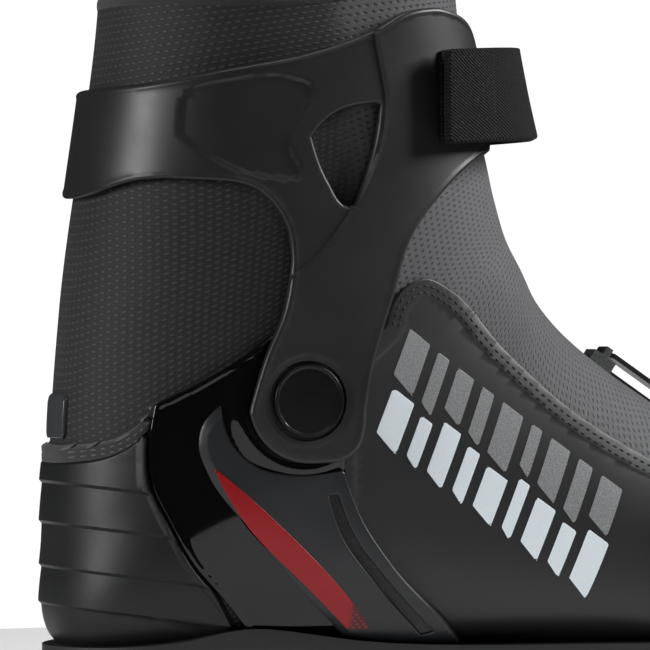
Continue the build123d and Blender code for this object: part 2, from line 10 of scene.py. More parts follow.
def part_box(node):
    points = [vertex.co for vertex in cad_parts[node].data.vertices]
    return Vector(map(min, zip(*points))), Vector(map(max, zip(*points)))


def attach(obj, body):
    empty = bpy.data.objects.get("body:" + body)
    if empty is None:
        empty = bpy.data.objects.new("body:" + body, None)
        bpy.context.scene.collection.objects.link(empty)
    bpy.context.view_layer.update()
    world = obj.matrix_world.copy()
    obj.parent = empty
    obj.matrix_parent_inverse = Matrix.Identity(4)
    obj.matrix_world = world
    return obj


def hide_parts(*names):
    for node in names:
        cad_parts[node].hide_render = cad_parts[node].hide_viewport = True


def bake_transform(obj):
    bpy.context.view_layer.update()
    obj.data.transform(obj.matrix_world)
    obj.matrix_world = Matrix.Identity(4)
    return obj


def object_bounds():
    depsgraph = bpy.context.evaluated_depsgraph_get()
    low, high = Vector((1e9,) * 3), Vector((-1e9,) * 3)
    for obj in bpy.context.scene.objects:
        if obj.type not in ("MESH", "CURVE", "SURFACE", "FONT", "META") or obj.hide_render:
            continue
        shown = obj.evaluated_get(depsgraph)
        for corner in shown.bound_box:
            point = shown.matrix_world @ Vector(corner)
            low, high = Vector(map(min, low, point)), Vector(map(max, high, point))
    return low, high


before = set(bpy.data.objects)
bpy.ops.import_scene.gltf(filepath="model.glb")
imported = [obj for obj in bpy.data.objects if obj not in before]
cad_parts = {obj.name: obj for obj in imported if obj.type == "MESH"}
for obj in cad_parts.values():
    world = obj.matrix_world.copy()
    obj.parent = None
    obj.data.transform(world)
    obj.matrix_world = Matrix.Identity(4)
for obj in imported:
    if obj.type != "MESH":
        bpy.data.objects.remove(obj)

bl_info = {
    "name": "Skate Ski Boot",
    "version": (1, 0, 0),
    "blender": (4, 5, 0),
    "location": "3D View > Sidebar > Boot",
    "description": "Dresses the fixed frame of a cross country skate boot in its cloth, plastic and metal",
    "category": "Object",
}

# ---------------------------------------------------------------- sizes, in metres
MM = 0.001
CAD_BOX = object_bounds()
COLLAR_LOW, COLLAR_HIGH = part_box("collar_binding")
SOLE_LOW, SOLE_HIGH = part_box("outsole")
CAP_LOW, CAP_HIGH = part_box("pivot_cap_lateral")
BUSH_LOW, BUSH_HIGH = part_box("pivot_bush_lateral")
PIVOT_Z = (CAP_LOW.z + CAP_HIGH.z) / 2
ARM_INNER = -BUSH_HIGH.y                  # inner face of the cuff's arms, off the middle plane
ARM_WALL = 3.5 * MM
ARM_OUTER = ARM_INNER + ARM_WALL
CAP_RADIUS = (CAP_HIGH.x - CAP_LOW.x) / 2
KX = (SOLE_HIGH.x - SOLE_LOW.x) / 0.301   # the outlines are drawn at the reference size
KZ = COLLAR_HIGH.z / 0.243
FAR = 0.4
CURVE_STEP = 1.3                          # millimetres between an outline's points

# Sections of the upper from the toe to the top of the shaft, in millimetres: a low and a high point
# (x, z), the half width, its shift to the inner side, how far an outer layer leads at the toe, where
# along the section it is widest, and how square its lower and upper halves are.
STATIONS = np.array([
    (224.0, 31.5, 223.6, 38.5, 6, 4, 1.0, .50, 2.0, 2.0),
    (222.5, 29, 221, 41, 15, 4, 1.0, .50, 2.2, 2.2),
    (219, 23.5, 216, 50, 28, 4, .75, .45, 2.6, 2.2),
    (211, 20, 206, 59, 37, 4, .4, .42, 3.0, 2.2),
    (196, 17.5, 193, 66.5, 43, 3.5, .15, .40, 3.2, 2.2),
    (170, 16, 170, 76.7, 47.5, 2, 0, .38, 3.4, 2.1),
    (140, 16, 142, 95.2, 49, 0, 0, .36, 3.4, 2.0),
    (105, 18, 118, 111, 45.5, -1.5, 0, .38, 3.2, 2.0),
    (20, 20, 95, 132, 41.5, -1, 0, .45, 3.0, 2.3),
    (-34, 17, 89, 144, 41.5, -.5, 0, .48, 2.8, 2.4),
    (-64.5, 25, 84, 154, 42.5, 0, 0, .50, 2.6, 2.4),
    (-68, 57, 80, 166, 43.5, 0, 0, .50, 2.4, 2.4),
    (-67.5, 90, 76.5, 180, 44, 0, 0, .50, 2.3, 2.4),
    (-64.5, 128, 72, 197, 45, 0, 0, .50, 2.3, 2.4),
    (-51.5, 222, 65, 236, 45, 0, 0, .50, 2.3, 2.4),
    (-49, 262, 64, 264, 45, 0, 0, .50, 2.3, 2.4),
])
SIDES = (("lateral", -1), ("medial", 1))
AIM = Vector((0.0211, -0.0077, 0.1239))      # the lamps and the camera look here
CAMERA_TURN = -20                            # degrees about the upright axis
CAMERA_DISTANCE = 1.547
FLOOR_RADIUS = 0.42
LAMPS = (                                    # name, place, size and watts
    ("rear", (-1.5, -0.3, 0.5), 0.6, 17),
    ("front", (1.45, -0.32, 0.95), 0.7, 36),
    ("top", (0.0, 0.1, 1.6), 0.7, 5),
    ("near", (0.2, -1.7, 1.0), 0.6, 2),
)


# ---------------------------------------------------------------- smooth lines and distances
def smooth(points, each):
    """A smooth line through points, with steps of the given length; two points give a straight one."""
    points = np.asarray(points, float)
    knots = np.concatenate([[0], np.cumsum(np.linalg.norm(np.diff(points, axis=0), axis=1))])
    at = np.linspace(0, knots[-1], max(2, int(knots[-1] / each) + 1))
    return through(points, knots, at)


def through(points, knots, at):
    """A cubic through the points at their knots, with slopes from their neighbours."""
    if len(points) == 2:
        share = ((at - knots[0]) / (knots[1] - knots[0]))[:, None]
        return points[0] * (1 - share) + points[1] * share
    steps = np.diff(knots)[:, None]
    rates = np.diff(points, axis=0) / steps
    inner = (rates[:-1] * steps[1:] + rates[1:] * steps[:-1]) / (steps[1:] + steps[:-1])
    slopes = np.vstack([1.5 * rates[:1] - .5 * inner[:1], inner, 1.5 * rates[-1:] - .5 * inner[-1:]])
    i = np.clip(np.searchsorted(knots, at, side="right") - 1, 0, len(points) - 2)
    h = steps[i]
    t = ((at - knots[i]) / h[:, 0])[:, None]
    return ((2 * t ** 3 - 3 * t ** 2 + 1) * points[i] + (t ** 3 - 2 * t ** 2 + t) * h * slopes[i]
            + (3 * t ** 2 - 2 * t ** 3) * points[i + 1] + (t ** 3 - t ** 2) * h * slopes[i + 1])


def line(*runs):
    """The line through the runs, in metres. A run of two points is straight, a longer one is a curve;
    each run goes on from where the last one ended."""
    parts = []
    last = None
    for run in runs:
        points = [tuple(p) for p in run] if last is None else [last] + [tuple(p) for p in run]
        dense = np.array(points) if len(points) == 2 else smooth(points, CURVE_STEP)
        parts.append(dense if last is None else dense[1:])
        last = points[-1]
    return np.vstack(parts) * (MM * KX, MM * KZ)


def inside(outline):
    """Distance to a closed line in the side view, more than 0 inside it."""
    a = outline
    b = np.roll(outline, -1, axis=0)
    run = b - a
    square = np.maximum((run ** 2).sum(1), 1e-18)

    low, high = outline.min(0), outline.max(0)

    def field(p):
        spots = p[:, [0, 2]]
        out = -np.linalg.norm(np.maximum(np.maximum(low - spots, spots - high), 0), axis=1)
        close = np.nonzero(out > -4 * MM)[0]
        for k in range(0, len(close), 4000):
            batch = close[k:k + 4000]
            q = spots[batch][:, None]
            t = np.clip(((q - a) * run).sum(2) / square, 0, 1)
            gap = np.sqrt((((a + t[..., None] * run) - q) ** 2).sum(2)).min(1)
            crossing = (a[:, 1] > q[..., 1]) != (b[:, 1] > q[..., 1])
            rise = np.where(run[:, 1] == 0, 1e-18, run[:, 1])
            x = a[:, 0] + (q[..., 1] - a[:, 1]) * run[:, 0] / rise
            odd = (crossing & (q[..., 0] < x)).sum(1) % 2 == 1
            out[batch] = np.where(odd, gap, -gap)
        return out
    return field


def both(*fields):
    return lambda p: np.minimum.reduce([f(p) for f in fields])


def either(fields):
    return lambda p: np.maximum.reduce([field(p) for field in fields])


def outside(field):
    return lambda p: -field(p)


def on_side(side, gap=0.0):
    return lambda p: side * p[:, 1] - gap


def within(half):
    """The band of the given half width along the middle plane."""
    return lambda p: half - np.abs(p[:, 1])


def grown(field, margin):
    """A field whose outline lies farther out by margin, or farther in where margin is below 0."""
    return lambda p: field(p) + margin


def off_pivot(p):
    return np.hypot(p[:, 0], p[:, 2] - PIVOT_Z)


# ---------------------------------------------------------------- the upper's skin
grids = {}


def grid(rows=230, columns=150, least_half=0.0, bulge=0.0, first=0.0):
    """Points of the upper's skin, how each moves with an outward offset, its place on the cloth, and
    the triangles between them."""
    key = (rows, columns, least_half, bulge, first)
    if key in grids:
        return grids[key]
    ends = STATIONS[:, :4]
    moved = (np.linalg.norm(np.diff(ends[:, :2], axis=0), axis=1)
             + np.linalg.norm(np.diff(ends[:, 2:], axis=0), axis=1)) / 2
    knots = np.concatenate([[0], np.cumsum(moved)])
    start = np.interp(first, np.arange(len(knots)), knots)
    along = np.linspace(start, knots[-1], rows)
    s = through(STATIONS, knots, along)
    turn = np.linspace(-math.pi / 2, 1.5 * math.pi, 1441)
    c, n = np.cos(turn), np.sin(turn)
    low_x, low_z = s[:, 0] * KX, s[:, 1] * KZ
    high_x, high_z = s[:, 2] * KX + bulge, s[:, 3] * KZ
    length = np.hypot(high_x - low_x, high_z - low_z)
    ex, ez = (high_x - low_x) / length, (high_z - low_z) / length
    half = np.maximum(s[:, 4], least_half)
    columns_at = np.linspace(0, 1, columns + 1)
    rows_out = []
    for i in range(rows):
        power = np.where(n < 0, s[i, 8], s[i, 9])
        side = np.sign(c) * np.abs(c) ** (2 / power)
        up = s[i, 7] + np.where(n > 0, 1 - s[i, 7], s[i, 7]) * np.sign(n) * np.abs(n) ** (2 / power)
        point = np.stack([low_x[i] + ex[i] * up * length[i], s[i, 5] + half[i] * side,
                          low_z[i] + ez[i] * up * length[i]], 1)
        move = np.stack([ex[i] * (2 * up - 1) + s[i, 6], side, ez[i] * (2 * up - 1)], 1)
        arc = np.concatenate([[0], np.cumsum(np.linalg.norm(np.diff(point, axis=0), axis=1))])
        share = arc / arc[-1]
        cols = [np.interp(columns_at, share, v) for v in (*point.T, *move.T)]
        cols += [columns_at * arc[-1], np.full(columns + 1, along[i])]
        rows_out.append(np.stack(cols, 1))
    data = np.concatenate(rows_out)
    data[:, :3] *= MM
    data[:, 6:8] *= MM
    w = columns + 1
    i, j = np.meshgrid(np.arange(rows - 1), np.arange(columns), indexing="ij")
    a = (i * w + j).ravel()
    b, d, e = a + 1, a + w, a + w + 1
    tris = np.concatenate([np.stack([a, e, b], 1), np.stack([a, d, e], 1)])
    nose = data[:w].mean(0)[None]
    fan = np.stack([np.arange(columns), np.arange(columns) + 1, np.full(columns, len(data))], 1)
    grids[key] = np.vstack([data, nose]), np.concatenate([tris, fan])
    return grids[key]


def split(data, tris, column, level):
    """Cuts the triangles along the line where a column of the data has the level."""
    s = data[:, column] - level
    s[np.abs(s) < 1e-8] = 1e-8
    up = s > 0
    count = up[tris].sum(1)
    mixed = (count == 1) | (count == 2)
    cut = tris[mixed]
    if not len(cut):
        return data, tris
    cu = up[cut]
    lone = np.where(cu.sum(1) == 1, np.argmax(cu, 1), np.argmin(cu, 1))
    k = np.arange(len(cut))
    p, q, r = (cut[k, (lone + m) % 3] for m in range(3))
    edges = np.concatenate([np.sort(np.stack([p, q], 1), 1), np.sort(np.stack([p, r], 1), 1)])
    pairs, which = np.unique(edges, axis=0, return_inverse=True)
    which = which.ravel()
    t = (s[pairs[:, 0]] / (s[pairs[:, 0]] - s[pairs[:, 1]]))[:, None]
    made = data[pairs[:, 0]] * (1 - t) + data[pairs[:, 1]] * t
    made[:, column] = level
    ids = len(data) + which
    pq, pr = ids[:len(cut)], ids[len(cut):]
    new = [np.stack([p, pq, pr], 1), np.stack([pq, q, r], 1), np.stack([pq, r, pr], 1)]
    return np.vstack([data, made]), np.concatenate([tris[~mixed]] + new)


def panel(name, field, inner, outer, edge=0.6, reliefs=(), flat=None, base=None):
    """A closed wall on the upper's skin between two offsets in millimetres, wherever field is over 0.

    Its rim is rounded over edge millimetres. Each relief is a field, levels in millimetres and the
    height at each. flat holds the planes that the wall meets round the ankle pivot.
    """
    data, tris = base or grid()
    middle = data[:, :3] + (inner + outer) / 2 * MM * data[:, 3:6]
    columns = [field(middle)[:, None]]
    near = (columns[0][tris][:, :, 0] > -1e-9).any(1)
    tris = tris[near]
    used = np.unique(tris)
    remap = np.full(len(data), -1)
    remap[used] = np.arange(len(used))
    tris = remap[tris]
    data = np.hstack([data, columns[0]])[used]
    middle = middle[used]
    data = np.hstack([data] + [r[0](middle)[:, None] for r in reliefs])
    data, tris = split(data, tris, 8, 0.0)
    tris = tris[data[tris, 8].min(1) > -1e-8]
    tris = tris[data[tris, 8].max(1) > 1e-8]
    rim = edge * MM
    for share in (0.1, 0.3, 0.6, 1.0):
        data, tris = split(data, tris, 8, rim * share)
    for i, (_, levels, _) in enumerate(reliefs):
        for level in levels:
            data, tris = split(data, tris, 9 + i, level * MM)
    height = outer - edge * (1 - np.sqrt(1 - (1 - np.clip(data[:, 8] / rim, 0, 1)) ** 2))
    for i, (_, levels, heights) in enumerate(reliefs):
        height = height + np.interp(data[:, 9 + i], np.array(levels) * MM, heights)
    height = np.maximum(height, inner + 0.05)
    top = data[:, :3] + (height * MM)[:, None] * data[:, 3:6]
    under = data[:, :3] + inner * MM * data[:, 3:6]
    if flat:
        for wall, plane in ((top, flat[1] + (height - outer) * MM), (under, flat[0])):
            near = np.clip((flat[3] - off_pivot(wall)) / (flat[3] - flat[2]), 0, 1)
            near = near * near * (3 - 2 * near)
            wall[:, 1] += near * (np.sign(wall[:, 1]) * plane - wall[:, 1])
    return closed_mesh(name, top, under, tris, data[:, 6:8])


def closed_mesh(name, top, under, tris, cloth):
    """The mesh between two walls with the same triangles, and a rim where they end."""
    _, first, weld = np.unique(np.round(top / 1e-8).astype(np.int64), axis=0, return_index=True,
                               return_inverse=True)
    weld = weld.ravel()
    welded = weld[tris]
    good = ((welded[:, 0] != welded[:, 1]) & (welded[:, 1] != welded[:, 2])
            & (welded[:, 0] != welded[:, 2]))
    tris, welded = tris[good], welded[good]
    n = len(first)
    directed = np.concatenate([welded[:, [0, 1]], welded[:, [1, 2]], welded[:, [2, 0]]])
    loops = np.concatenate([tris[:, [0, 1]], tris[:, [1, 2]], tris[:, [2, 0]]])
    codes = directed[:, 0] * (n + 1) + directed[:, 1]
    back = directed[:, 1] * (n + 1) + directed[:, 0]
    lone = ~np.isin(codes, back)
    i, j = directed[lone].T
    li, lj = loops[lone].T
    faces = welded.tolist() + (welded[:, ::-1] + n).tolist()
    faces += np.stack([j, i, i + n, j + n], 1).tolist()
    uv = np.concatenate([tris.ravel(), tris[:, ::-1].ravel(), np.stack([lj, li, li, lj], 1).ravel()])
    mesh = bpy.data.meshes.new(name)
    mesh.from_pydata(np.vstack([top[first], under[first]]).tolist(), [], faces)
    layer = mesh.uv_layers.new(name="UVMap")
    layer.data.foreach_set("uv", cloth[uv].astype(np.float32).ravel())
    obj = bpy.data.objects.new(name, mesh)
    bpy.context.scene.collection.objects.link(obj)
    return soften(obj, 38)


# ---------------------------------------------------------------- work by hand
def alone(obj=None):
    """Leaves only this object selected."""
    if bpy.context.mode != "OBJECT":
        bpy.ops.object.mode_set(mode="OBJECT")
    bpy.ops.object.select_all(action="DESELECT")
    if obj:
        obj.select_set(True)
        bpy.context.view_layer.objects.active = obj


def soften(obj, degrees):
    alone(obj)
    bpy.ops.object.shade_smooth_by_angle(angle=math.radians(degrees))
    return obj


def settle(obj, name, degrees=35):
    """Applies place, turn and modifiers, and leaves the object at the origin."""
    alone(obj)
    obj.name = name
    obj.data.name = name
    bpy.ops.object.transform_apply(location=True, rotation=True, scale=True)
    for modifier in list(obj.modifiers):
        bpy.ops.object.modifier_apply(modifier=modifier.name)
    return soften(obj, degrees)


def select_faces(test):
    """In edit mode, selects the faces that pass the test."""
    bpy.ops.mesh.select_mode(type="FACE")
    bpy.ops.mesh.select_all(action="DESELECT")
    obj = bpy.context.edit_object
    shape = bmesh.from_edit_mesh(obj.data)
    for face in shape.faces:
        face.select = bool(test(obj.matrix_world @ face.calc_center_median(),
                                obj.matrix_world.to_3x3() @ face.normal))
    shape.select_flush_mode()
    bmesh.update_edit_mesh(obj.data)


def finished(obj, material, body=None, nodes=()):
    """Gives a piece its material and its body, and hides the nodes that it stands for."""
    obj.data.materials.clear()
    obj.data.materials.append(material)
    if body:
        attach(obj, body)
    if nodes:
        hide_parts(*nodes)
    return obj


def stitches(name, obj, path, side, pitch, length, radius, lift=0.3):
    """A row of thread stitches laid on a piece along a line in the side view."""
    tree = BVHTree.FromObject(obj, bpy.context.evaluated_depsgraph_get())
    steps = np.concatenate([[0], np.cumsum(np.linalg.norm(np.diff(path, axis=0), axis=1))])
    count = int(steps[-1] / pitch)
    spots = []
    for at in (np.arange(count) + 0.5) * pitch:
        spot = []
        for share in (-0.5, 0.0, 0.5):
            x, z = (np.interp(at + share * length, steps, path[:, i]) for i in range(2))
            spot.append(tree.ray_cast(Vector((x, side * FAR, z)), Vector((0, -side, 0))))
        if all(hit[0] for hit in spot):
            spots.append(spot)
    verts, faces = [], []
    around = 6
    for spot in spots:
        ends = [hit[0] for hit in spot]
        up = spot[1][1]
        ahead = (ends[2] - ends[0]).normalized()
        across = up.cross(ahead).normalized()
        first = len(verts)
        for place, sink, size in ((0, -.9, .35), (.12, .1, .8), (.5, lift, 1), (.88, .1, .8), (1, -.9, .35)):
            centre = ends[0].lerp(ends[2], place) + up * radius * sink
            for k in range(around):
                angle = 2 * math.pi * k / around
                verts.append(centre + (across * math.cos(angle) + up * math.sin(angle)) * radius * size)
        for ring in range(4):
            for k in range(around):
                a, b = first + ring * around + k, first + ring * around + (k + 1) % around
                faces.append((a, b, b + around, a + around))
        faces.append([first + k for k in reversed(range(around))])
        faces.append([first + 4 * around + k for k in range(around)])
    mesh = bpy.data.meshes.new(name)
    mesh.from_pydata(verts, [], faces)
    row = bpy.data.objects.new(name, mesh)
    bpy.context.scene.collection.objects.link(row)
    alone(row)
    bpy.ops.object.mode_set(mode="EDIT")
    bpy.ops.mesh.select_all(action="SELECT")
    bpy.ops.mesh.normals_make_consistent(inside=False)
    bpy.ops.object.mode_set(mode="OBJECT")
    return soften(row, 60)


def beside(path, distance):
    """The line moved sideways in the side view, to its left as it runs."""
    ahead = np.gradient(path, axis=0)
    ahead /= np.maximum(np.linalg.norm(ahead, axis=1), 1e-12)[:, None]
    return path + distance * MM * np.stack([-ahead[:, 1], ahead[:, 0]], 1)


# ---------------------------------------------------------------- shader maths
class Value:
    """A socket that can be used in sums."""

    def __init__(self, graph, socket):
        self.graph = graph
        self.socket = socket

    def __add__(self, other):
        return self.graph.maths("ADD", self, other)

    def __radd__(self, other):
        return self.graph.maths("ADD", other, self)

    def __sub__(self, other):
        return self.graph.maths("SUBTRACT", self, other)

    def __rsub__(self, other):
        return self.graph.maths("SUBTRACT", other, self)

    def __mul__(self, other):
        return self.graph.maths("MULTIPLY", self, other)

    def __rmul__(self, other):
        return self.graph.maths("MULTIPLY", other, self)

    def __truediv__(self, other):
        return self.graph.maths("DIVIDE", self, other)

    def __pow__(self, other):
        return self.graph.maths("POWER", self, other)


class Graph:
    """A material's nodes, with one Principled shader."""

    def __init__(self, name, **constants):
        self.material = bpy.data.materials.new(name)
        self.material.use_nodes = True
        self.tree = self.material.node_tree
        self.shader = self.tree.nodes["Principled BSDF"]
        for socket, value in constants.items():
            self.shader.inputs[socket.replace("_", " ")].default_value = value

    def node(self, kind, settings=None, **sockets):
        made = self.tree.nodes.new(kind)
        for setting, value in (settings or {}).items():
            setattr(made, setting, value)
        for socket, value in sockets.items():
            key = int(socket[1:]) if socket[0] == "i" and socket[1:].isdigit() else socket.replace("_", " ")
            self.feed(made.inputs[key], value)
        return made

    def feed(self, socket, value):
        value = getattr(value, "socket", value)
        if isinstance(value, bpy.types.NodeSocket):
            self.tree.links.new(value, socket)
        else:
            socket.default_value = value

    def maths(self, operation, *values):
        made = self.node("ShaderNodeMath", {"operation": operation},
                         **{f"i{k}": v for k, v in enumerate(values)})
        return Value(self, made.outputs[0])

    def step(self, value, low, high):
        made = self.node("ShaderNodeMapRange", {"interpolation_type": "SMOOTHSTEP"}, Value=value,
                         From_Min=low, From_Max=high)
        return Value(self, made.outputs[0])

    def mix(self, factor, a, b):
        made = self.node("ShaderNodeMix", {"data_type": "RGBA"}, i0=factor)
        self.feed(made.inputs[6], a)
        self.feed(made.inputs[7], b)
        return Value(self, made.outputs[2])

    def places(self):
        """The object's own x, y and z, in metres."""
        where = self.node("ShaderNodeTexCoord").outputs["Object"]
        parts = self.node("ShaderNodeSeparateXYZ", None, Vector=where)
        return where, [Value(self, o) for o in parts.outputs]

    def cloth(self):
        """How far round and along the cloth a point lies, in metres."""
        where = self.node("ShaderNodeUVMap", {"uv_map": "UVMap"}).outputs[0]
        parts = self.node("ShaderNodeSeparateXYZ", None, Vector=where)
        return where, [Value(self, o) for o in parts.outputs[:2]]

    def noise(self, where, size, detail=3.0, roughness=0.55):
        made = self.node("ShaderNodeTexNoise", None, Vector=where, Scale=1 / size, Detail=detail,
                         Roughness=roughness)
        return Value(self, made.outputs["Fac"])

    def bump(self, height, strength, distance, after=None):
        made = self.node("ShaderNodeBump", None, Height=height, Strength=strength, Distance=distance)
        if after:
            self.feed(made.inputs["Normal"], after)
        return made.outputs[0]

    def set(self, **values):
        for socket, value in values.items():
            self.feed(self.shader.inputs[socket.replace("_", " ")], value)
        return self.material


def tone(red, green, blue):
    return (red, green, blue, 1.0)


def moulded(name, colour, roughness, grain=0.5, bump=0.15, worn=0.15, **constants):
    """A moulded plastic or rubber: fine grain, faint cloudiness and a little wear."""
    g = Graph(name, **constants)
    where, _ = g.places()
    fine = g.noise(where, grain * MM, 2.0)
    cloud = g.noise(where, 22 * MM, 4.0)
    light = tuple(min(1.0, c * (1 + worn) + 0.006 * worn) for c in colour)
    dark = tuple(c * (1 - worn) for c in colour)
    return g.set(Base_Color=g.mix(cloud, tone(*dark), tone(*light)),
                 Roughness=(cloud - 0.5) * 0.16 + (fine - 0.5) * 0.1 + roughness,
                 Normal=g.bump(fine, bump, 0.05 * MM))


def pricks(g, u, v, wide, tall, across, up):
    """Staggered oval spots, 1 in their middles: pitches and half sizes in millimetres."""
    row = g.maths("FLOOR", v / (tall * MM))
    shift = g.maths("MODULO", row, 2.0) * 0.5
    x = (g.maths("FRACT", u / (wide * MM) + shift) - 0.5) * (wide / across)
    y = (g.maths("FRACT", v / (tall * MM)) - 0.5) * (tall / up)
    return g.step(1.0 - (x * x + y * y), 0.0, 0.75)


def shaft_cloth(name):
    """Woven shaft cloth with short dashes behind, and a dimpled softshell in front of the cuff whose pale
    grey is partly painted light.
    """
    g = Graph(name, Sheen_Weight=0.1, Sheen_Roughness=0.5, Specular_IOR_Level=0.3)
    where, (u, v) = g.cloth()
    place, (x, y, z) = g.places()
    dashes = pricks(g, u, v, 3.0, 1.7, 1.15, 0.42)
    dimples = pricks(g, u, v, 2.9, 2.5, 0.95, 0.62)
    front = g.step(x + (z - 0.1) * 0.1, 0.018, 0.030)
    thread = 2 * math.pi / (0.32 * MM)
    weave = g.maths("SINE", u * thread) * g.maths("SINE", v * thread)
    cloud = g.noise(place, 9 * MM, 3.0)
    rear = g.mix(dashes, tone(.011, .0115, .012), tone(.042, .043, .046))
    # The softshell's grey between its dimples is partly its own colour and partly painted light, lifted to
    # stand in for the light of the front lamp.
    face = g.mix(dimples, tone(.098, .099, .104), tone(.040, .041, .044))
    shade = g.mix(front, rear, face)
    shade = g.mix(cloud * 0.35, shade, tone(.03, .03, .033))
    height = dashes * (1.0 - front) - dimples * front + weave * 0.08
    return g.set(Base_Color=shade, Roughness=0.62 - dashes * 0.12,
                 Normal=g.bump(height, 0.75, 0.28 * MM))


def knit(name, colour, pitch=1.2, sheen=0.3):
    """A soft knitted lining or tape."""
    g = Graph(name, Sheen_Weight=sheen, Sheen_Roughness=0.5)
    where, (x, y, z) = g.places()
    loops = (g.maths("SINE", (x + y) * (2 * math.pi / (pitch * MM)))
             * g.maths("SINE", z * (2 * math.pi / (pitch * MM))))
    cloud = g.noise(where, 6 * MM, 4.0)
    light = tuple(c * 1.8 + 0.004 for c in colour)
    return g.set(Base_Color=g.mix(loops * 0.3 + cloud * 0.6, tone(*colour), tone(*light)),
                 Roughness=0.78 + (cloud - 0.5) * 0.2,
                 Normal=g.bump(loops + cloud, 0.5, 0.2 * MM))


def ribbed(name, colour, pitch, fuzz):
    """Webbing or hook and loop tape: ribs along the boot's height with fuzz between them."""
    g = Graph(name, Sheen_Weight=0.04, Sheen_Roughness=0.4, Specular_IOR_Level=0.12)
    where, (u, v) = g.cloth()
    place, _ = g.places()
    ribs = g.maths("SINE", u * (2 * math.pi / (pitch * MM)))
    specks = g.noise(place, 0.5 * MM, 4.0, 0.7)
    lint = g.step(g.noise(place, 0.33 * MM, 1.0), 0.64, 0.72) * fuzz
    light = tuple(c * 2.2 + 0.003 for c in colour)
    shade = g.mix(ribs * 0.25 + specks * 0.6, tone(*colour), tone(*light))
    return g.set(Base_Color=g.mix(lint, shade, tone(.32, .32, .33)), Roughness=0.8 - ribs * 0.08,
                 Normal=g.bump(ribs * 0.7 + specks * 1.4, 0.7, 0.3 * MM))


def printed(name, colour, speckle):
    """Printed film: flat, slightly glossy, with a metallic speckle."""
    g = Graph(name, Specular_IOR_Level=0.5)
    where, _ = g.places()
    flakes = g.step(g.noise(where, 0.32 * MM, 2.0, 0.7), 0.42, 0.62)
    dark = tuple(c * (1 - speckle) for c in colour)
    return g.set(Base_Color=g.mix(flakes, tone(*dark), tone(*colour)), Roughness=0.45 - flakes * 0.12,
                 Metallic=flakes * speckle * 0.6, Normal=g.bump(flakes, 0.12, 0.04 * MM))


def brushed(name, colour, roughness):
    """Worn metal."""
    g = Graph(name, Metallic=1.0)
    where, _ = g.places()
    scratch = g.noise(where, 0.6 * MM, 4.0)
    return g.set(Base_Color=g.mix(scratch, tone(*[c * .8 for c in colour]), tone(*colour)),
                 Roughness=roughness + (scratch - 0.5) * 0.2, Normal=g.bump(scratch, 0.1, 0.02 * MM))


def stripe_film(name, colour):
    """The stripe's film: red with a satin gloss, and a fine square mesh at its front end."""
    g = Graph(name, Coat_Weight=0.1, Coat_Roughness=0.2, Specular_IOR_Level=0.3)
    where, (x, y, z) = g.places()
    along = x * 0.707 - z * 0.707
    over = x * 0.707 + z * 0.707
    dots = (g.step(g.maths("SINE", along * (2 * math.pi / (1.5 * MM))), 0.0, 0.25)
            * g.step(g.maths("SINE", over * (2 * math.pi / (1.5 * MM))), 0.0, 0.25))
    end = g.step(x, 17.0 * MM * KX, 19.0 * MM * KX)
    cloud = g.noise(where, 4 * MM, 3.0)
    shade = g.mix(cloud * 0.5, tone(*colour), tone(*[c * 0.82 for c in colour]))
    return g.set(Base_Color=g.mix(end * (1.0 - dots) * 0.85, shade, tone(.02, .016, .018)),
                 Roughness=0.32 + (cloud - 0.5) * 0.1, Normal=g.bump(cloud, 0.06, 0.05 * MM))


# ---------------------------------------------------------------- outlines, at the reference size
SOLE_LINE = [(-90, 22.5), (-50, 22.5), (-33, 24.5), (-17, 27.5), (0, 26.5), (20, 23.5), (45, 21.5),
             (90, 21), (140, 21), (180, 23), (205, 28), (222, 35), (240, 42)]
BAND_REAR = [(-46, 99.5), (-47.5, 90), (-47, 75), (-42, 63), (-35, 50), (-23, 37), (-13, 26)]
CHASSIS_FRONT = [(14, 81), (15.5, 72), (19, 64), (31, 47), (50, 29), (60, 20)]
CHASSIS_TOP = [(14, 108), (8, 118), (-11, 121)]
CHASSIS_SHOULDER = [(-24, 111.5), (-37, 104), (-46, 99.5)]
RIDGE = [(-27, 99), (-33, 92), (-34, 86), (-31, 77), (-14, 56), (0, 40), (18, 24)]
POCKET = [(13.5, 78), (-5, 77), (-15, 79.5), (-22, 85), (-26, 93), (-27, 99)]
SLOT_FRONT = [(11.8, 70.5), (16.2, 59.5), (29.8, 42.5), (47.5, 26)]
SLOT_REAR = [(43.5, 25), (26.8, 40.5), (12.8, 58), (8.2, 70.5)]
QUARTER_TOP = [(29, 124), (33, 134), (42, 139), (53, 135), (72, 116), (95, 96), (130, 76), (172, 59)]
COUNTER_TOP = [(-90, 80), (-67, 81), (-57, 83.5), (-50.5, 88), (-46.6, 95)]
BINDING_TOP = [(-90, 84.5), (-67, 85.5), (-57, 88), (-51, 92.5), (-46.4, 99.5)]
COLLAR_TOP = [(-90, 232), (-55, 232), (0, 231), (45, 238), (70, 243), (90, 243)]


def arm_circle(radius, start, end):
    turns = np.radians(np.linspace(start, end, 12))
    return [(radius * math.cos(t) / KX, (PIVOT_Z / MM + radius * math.sin(t)) / KZ) for t in turns]


